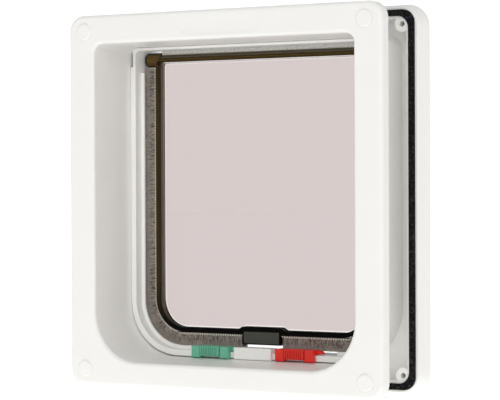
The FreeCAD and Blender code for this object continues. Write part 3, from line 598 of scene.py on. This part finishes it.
def put_row(row, place):
    row.location = place
    bpy.ops.object.transform_apply(location=True)


def copy_of(piece):
    twin = piece.copy()
    twin.data = piece.data.copy()
    bpy.context.scene.collection.objects.link(twin)
    return twin


def ruffle(piece, amount, name):
    """Moves the fibres a little off their lines, along the strip and across it."""
    cloud = bpy.data.textures.new(f"ruffle_{name}", "CLOUDS")
    cloud.noise_scale = 0.55 * MM
    cloud.noise_depth = 1
    for direction in ("X", "Z", "Y"):
        wander = piece.modifiers.new("wander", "DISPLACE")
        wander.texture = cloud
        wander.texture_coords = "LOCAL"
        wander.direction = direction
        wander.strength = amount * 2
        wander.mid_level = 0.5
        bpy.ops.object.modifier_apply(modifier=wander.name)


def join(pieces):
    clear_selection()
    for piece in pieces:
        piece.select_set(True)
    bpy.context.view_layer.objects.active = pieces[0]
    bpy.ops.object.join()
    return pieces[0]


def side_brush(node, backing, side, sizes):
    """Pile down one side of the flap, round its lower corner and in to the magnet."""
    low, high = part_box(node)
    inner_low, inner_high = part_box(backing)
    width = high[1] - low[1]
    depth = (high[1] + low[1]) / 2
    outer_x = max(abs(low[0]), abs(high[0]))
    root_x = max(abs(inner_low[0]), abs(inner_high[0]))
    end_x = min(abs(low[0]), abs(high[0]))
    root_z = inner_low[2]
    top = high[2]
    length = outer_x - root_x + sizes.reach
    drop = root_z - low[2] + sizes.sweep
    corner = BRUSH_CORNER
    centre = Vector((root_x - corner, 0, root_z + corner))

    row = fibre_row(sizes, length, width - 2 * sizes.stray, sizes.row_pitch)
    turn_row(row, math.radians(90))
    count = int((top - centre.z + sizes.tuck) / sizes.column_pitch)
    straight = copy_of(row)
    pick(straight)
    put_row(straight, (root_x, depth, centre.z))
    repeat(straight, (0, 0, sizes.column_pitch), count)

    bend = copy_of(row)
    pick(bend)
    put_row(bend, (root_x, depth, centre.z))
    steps = int(math.radians(90) * (corner + length * 0.5) / sizes.column_pitch)
    bpy.ops.object.mode_set(mode="EDIT")
    bpy.ops.mesh.select_all(action="SELECT")
    bpy.ops.mesh.spin(
        steps=steps, dupli=True, angle=math.radians(-90), center=centre, axis=(0, 1, 0), use_normal_flip=False
    )
    bpy.ops.object.mode_set(mode="OBJECT")

    turn_row(row, math.radians(90))
    row.scale = (1, 1, drop / length)
    bpy.ops.object.transform_apply(scale=True)
    put_row(row, (centre.x, depth, root_z))
    repeat(row, (-sizes.column_pitch, 0, 0), int((centre.x - end_x) / sizes.column_pitch))

    brush = join([straight, bend, row])
    ruffle(brush, sizes.stray, node)
    if side < 0:
        brush.scale = (-1, 1, 1)
        bpy.ops.object.transform_apply(scale=True)
        bpy.ops.object.mode_set(mode="EDIT")
        bpy.ops.mesh.select_all(action="SELECT")
        bpy.ops.mesh.normals_make_consistent(inside=False)
        bpy.ops.object.mode_set(mode="OBJECT")
    return brush


def top_brush(sizes):
    """Short pile that stands along the hinge rail."""
    low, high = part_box("top_brush_seal")
    height = high[2] - low[2] + sizes.rise
    width = high[1] - low[1] - 2 * sizes.stray
    row = fibre_row(sizes, height, width, sizes.row_pitch * TOP_FINENESS)
    put_row(row, (low[0] + sizes.stray * 2, (low[1] + high[1]) / 2, low[2]))
    repeat(row, (sizes.column_pitch, 0, 0), int((high[0] - low[0] - sizes.stray * 3) / sizes.column_pitch))
    ruffle(row, sizes.stray * TOP_FINENESS, "top")
    return row


class OBJECT_OT_cat_flap_frames(bpy.types.Operator):
    """Finishes both frames, the screw caps and the middle cover in white plastic"""

    bl_idname = "object.cat_flap_frames"
    bl_label = "Frames and caps"

    def execute(self, context):
        colours = context.scene.cat_flap_finishes
        satin = moulded_plastic("white_satin_plastic", colours.white, 0.30, 1400.0)
        gloss = moulded_plastic("white_gloss_plastic", shade(colours.white, 1.01), 0.24, 2200.0)
        for node in ("inner_frame", "outer_frame"):
            dress(node, satin)
        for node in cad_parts:
            if node.startswith("screw_cap") or node == "keeper_cover":
                dress(node, gloss)
        return {"FINISHED"}


class OBJECT_OT_cat_flap_gasket(bpy.types.Operator):
    """Finishes the weather gasket in black foam"""

    bl_idname = "object.cat_flap_gasket"
    bl_label = "Weather gasket"

    def execute(self, context):
        dress("weather_gasket", foam("black_foam", context.scene.cat_flap_finishes.foam))
        return {"FINISHED"}


class OBJECT_OT_cat_flap_panel(bpy.types.Operator):
    """Finishes the swinging flap in tinted clear plastic"""

    bl_idname = "object.cat_flap_panel"
    bl_label = "Clear flap"

    def execute(self, context):
        dress("flap_panel", clear_plastic("tinted_clear_plastic", context.scene.cat_flap_finishes))
        return {"FINISHED"}


class OBJECT_OT_cat_flap_metal(bpy.types.Operator):
    """Finishes the hinge pins and the two bar magnets"""

    bl_idname = "object.cat_flap_metal"
    bl_label = "Pins and magnets"

    def execute(self, context):
        steel = ground_metal("drawn_steel", (0.55, 0.55, 0.56), 0.25, 1.0)
        magnet = ground_metal("sintered_magnet", context.scene.cat_flap_finishes.magnet, 0.5, 0.0)
        for node in ("hinge_pin_left", "hinge_pin_right"):
            dress(node, steel)
        for node in ("flap_magnet", "frame_magnet"):
            dress(node, magnet)
        return {"FINISHED"}


class OBJECT_OT_cat_flap_side_brushes(bpy.types.Operator):
    """Builds the pile of both side brushes and finishes their woven backing"""

    bl_idname = "object.cat_flap_side_brushes"
    bl_label = "Side brushes"

    def execute(self, context):
        colours = context.scene.cat_flap_finishes
        root_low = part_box("left_brush_backing")[0]
        yarn = pile_yarn("grey_brown_pile", colours, abs(root_low[0]), root_low[2])
        backing = woven_backing("woven_backing", colours.thread, shade(colours.pile_dark, 0.9), root_low[2])
        for name, side in (("left", -1), ("right", 1)):
            node = f"{name}_brush_seal"
            brush = side_brush(node, f"{name}_brush_backing", side, context.scene.cat_flap_brushes)
            finish_piece(brush, f"{name}_brush_pile", "flap", yarn)
            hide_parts(node)
            dress(f"{name}_brush_backing", backing)
        return {"FINISHED"}


class OBJECT_OT_cat_flap_top_brush(bpy.types.Operator):
    """Builds the short pale pile along the top of the flap"""

    bl_idname = "object.cat_flap_top_brush"
    bl_label = "Top brush"

    def execute(self, context):
        colours = context.scene.cat_flap_finishes
        yarn = rooted_yarn("pale_pile", colours.rail_top, colours.top_pile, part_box("top_brush_seal")[0][2])
        brush = top_brush(context.scene.cat_flap_brushes)
        finish_piece(brush, "top_brush_pile", "flap", yarn)
        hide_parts("top_brush_seal")
        return {"FINISHED"}


class OBJECT_OT_cat_flap_locks(bpy.types.Operator):
    """Finishes the green and the red lock slider"""

    bl_idname = "object.cat_flap_locks"
    bl_label = "Lock sliders"

    def execute(self, context):
        colours = context.scene.cat_flap_finishes
        dress("green_lock_slider", ribbed_plastic("green_plastic", colours.green, 0.34))
        dress("red_lock_slider", ribbed_plastic("red_plastic", colours.red, 0.34))
        return {"FINISHED"}


def add_floor(stage):
    """A plain pale floor under the part."""
    clear_selection()
    bpy.ops.mesh.primitive_plane_add(size=stage.floor_width, location=(0, 0, CAD_BOX[0][2]))
    floor = bpy.context.object
    floor.name = "studio_floor"
    paper = Finish("studio_paper", Roughness=0.9, Specular_IOR_Level=0.1, Emission_Strength=stage.floor_glow)
    paper.feed(paper.shader.inputs["Emission Color"], (1, 1, 1, 1))
    tone = paper.mix(paper.noise(3.0, 2.0), (0.93, 0.93, 0.93), (0.95, 0.95, 0.95))
    paper.paint(tone)
    floor.data.materials.append(paper.material)


def add_sky(front, back, above, looked_at):
    """Light that changes from the front to the back and upwards, and is one plain white where it is seen."""
    world = bpy.data.worlds.new("studio_light")
    world.use_nodes = True
    tree = world.node_tree
    background = tree.nodes["Background"]
    background.inputs["Color"].default_value = (1, 1, 1, 1)
    aim = tree.nodes.new("ShaderNodeTexCoord")
    split = tree.nodes.new("ShaderNodeSeparateXYZ")
    tree.links.new(aim.outputs["Generated"], split.inputs[0])
    sweep = tree.nodes.new("ShaderNodeMapRange")
    sweep.inputs["From Min"].default_value = -1.0
    sweep.inputs["To Min"].default_value = front
    sweep.inputs["To Max"].default_value = back
    tree.links.new(split.outputs["Y"], sweep.inputs["Value"])
    rise = tree.nodes.new("ShaderNodeMapRange")
    rise.inputs["To Max"].default_value = above
    tree.links.new(split.outputs["Z"], rise.inputs["Value"])
    both = tree.nodes.new("ShaderNodeMath")
    tree.links.new(sweep.outputs[0], both.inputs[0])
    tree.links.new(rise.outputs[0], both.inputs[1])
    path = tree.nodes.new("ShaderNodeLightPath")
    seen = tree.nodes.new("ShaderNodeMath")
    seen.operation = "MAXIMUM"
    tree.links.new(path.outputs["Is Camera Ray"], seen.inputs[0])
    tree.links.new(path.outputs["Is Transmission Ray"], seen.inputs[1])
    level = tree.nodes.new("ShaderNodeMapRange")
    level.inputs["To Max"].default_value = looked_at
    tree.links.new(both.outputs[0], level.inputs["To Min"])
    tree.links.new(seen.outputs[0], level.inputs["Value"])
    tree.links.new(level.outputs[0], background.inputs["Strength"])
    bpy.context.scene.world = world


def add_sun(name, place, softness, strength):
    """An even, soft light from one side, aimed at the origin."""
    clear_selection()
    bpy.ops.object.light_add(type="SUN", location=place)
    lamp = bpy.context.object
    lamp.name = name
    lamp.data.angle = softness
    lamp.data.energy = strength
    lamp.rotation_euler = (-Vector(place)).to_track_quat("-Z", "Y").to_euler()


def add_camera(lens):
    """A long lens from the right of the part, level with it."""
    clear_selection()
    place = Vector(CAMERA_PLACE) * MM
    aim = Vector(CAMERA_AIM) * MM
    bpy.ops.object.camera_add(location=place)
    camera = bpy.context.object
    camera.name = "studio_camera"
    turn = (aim - place).to_track_quat("-Z", "Y") @ Quaternion((0, 0, 1), CAMERA_ROLL)
    camera.rotation_euler = turn.to_euler()
    camera.data.sensor_width = SENSOR_WIDTH
    camera.data.lens = lens
    camera.data.dof.use_dof = False
    bpy.context.scene.camera = camera


class OBJECT_OT_cat_flap_studio(bpy.types.Operator):
    """Sets up the floor, the light and the camera"""

    bl_idname = "object.cat_flap_studio"
    bl_label = "Studio"

    def execute(self, context):
        stage = context.scene.cat_flap_stage
        add_floor(stage)
        add_sky(stage.sky_front, stage.sky_back, stage.sky_above, stage.sky_seen)
        add_sun("key_light", KEY_PLACE, stage.softness, stage.key)
        add_camera(stage.lens)
        context.scene.view_settings.view_transform = "Standard"
        return {"FINISHED"}


OPERATORS = (
    OBJECT_OT_cat_flap_frames,
    OBJECT_OT_cat_flap_gasket,
    OBJECT_OT_cat_flap_panel,
    OBJECT_OT_cat_flap_metal,
    OBJECT_OT_cat_flap_side_brushes,
    OBJECT_OT_cat_flap_top_brush,
    OBJECT_OT_cat_flap_locks,
    OBJECT_OT_cat_flap_studio,
)


class VIEW3D_PT_cat_flap(bpy.types.Panel):
    """Lists the steps that dress the cat flap"""

    bl_label = "Cat flap"
    bl_space_type = "VIEW_3D"
    bl_region_type = "UI"
    bl_category = "Cat flap"

    def draw(self, context):
        scene = context.scene
        for settings in (scene.cat_flap_finishes, scene.cat_flap_brushes, scene.cat_flap_stage):
            for name in settings.bl_rna.properties.keys():
                if name not in ("rna_type", "name"):
                    self.layout.prop(settings, name)
        for operator in OPERATORS:
            self.layout.operator(operator.bl_idname)


GROUPS = {
    "cat_flap_finishes": CatFlapFinishes,
    "cat_flap_brushes": CatFlapBrushes,
    "cat_flap_stage": CatFlapStage,
}


def register():
    for kind in (*GROUPS.values(), *OPERATORS, VIEW3D_PT_cat_flap):
        bpy.utils.register_class(kind)
    for name, kind in GROUPS.items():
        setattr(bpy.types.Scene, name, bpy.props.PointerProperty(type=kind))


def unregister():
    for name in GROUPS:
        delattr(bpy.types.Scene, name)
    for kind in reversed((*GROUPS.values(), *OPERATORS, VIEW3D_PT_cat_flap)):
        bpy.utils.unregister_class(kind)


def main():
    register()
    for operator in OPERATORS:
        group, name = operator.bl_idname.split(".")
        getattr(getattr(bpy.ops, group), name)()


if __name__ == "__main__":
    main()
